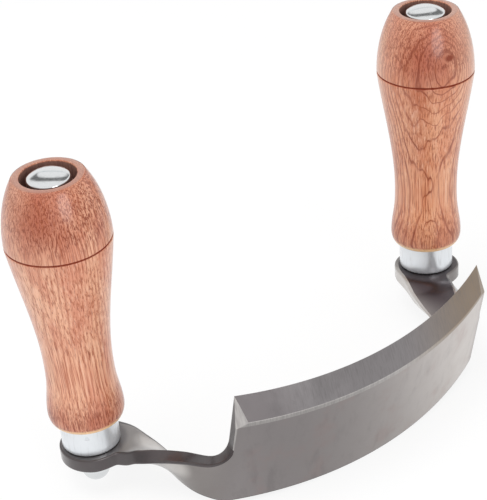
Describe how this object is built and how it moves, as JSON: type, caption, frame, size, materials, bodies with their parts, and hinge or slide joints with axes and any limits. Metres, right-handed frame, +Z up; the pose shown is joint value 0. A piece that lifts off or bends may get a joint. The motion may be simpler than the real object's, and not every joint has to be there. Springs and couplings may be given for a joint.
{
  "type": "curved drawknife",
  "caption": "Curved drawknife for hollowing wood: a bent bevelled blade pulled by two turned handles on twisted necks.",
  "frame": {"origin": "middle of the tool's box on the surface that it stands on, under its two cap nuts and the lower corner of its blade", "axes": "+X to the right handle, as seen from the convex side of the blade, +Y from the blade to the handles, +Z up"},
  "size_m": [0.1964, 0.0826, 0.1172],
  "materials": {
    "forged_steel": "satin, dark grey, with a ground bevel",
    "lacquered_wood": "turned, clear satin lacquer",
    "plated_ferrule": "bright nickel plate",
    "plated_bolt": "bright nickel plate",
    "zinc_washer": "zinc plate",
    "plated_nut": "bright nickel plate"
  },
  "bodies": {
    "root": {"blade": "forged_steel", "left_grip": "lacquered_wood", "right_grip": "lacquered_wood", "left_ferrule": "plated_ferrule", "right_ferrule": "plated_ferrule", "left_tie_bolt": "plated_bolt", "right_tie_bolt": "plated_bolt", "left_lock_washer": "zinc_washer", "right_lock_washer": "zinc_washer", "left_cap_nut": "plated_nut", "right_cap_nut": "plated_nut"}
  },
  "joints": []
}
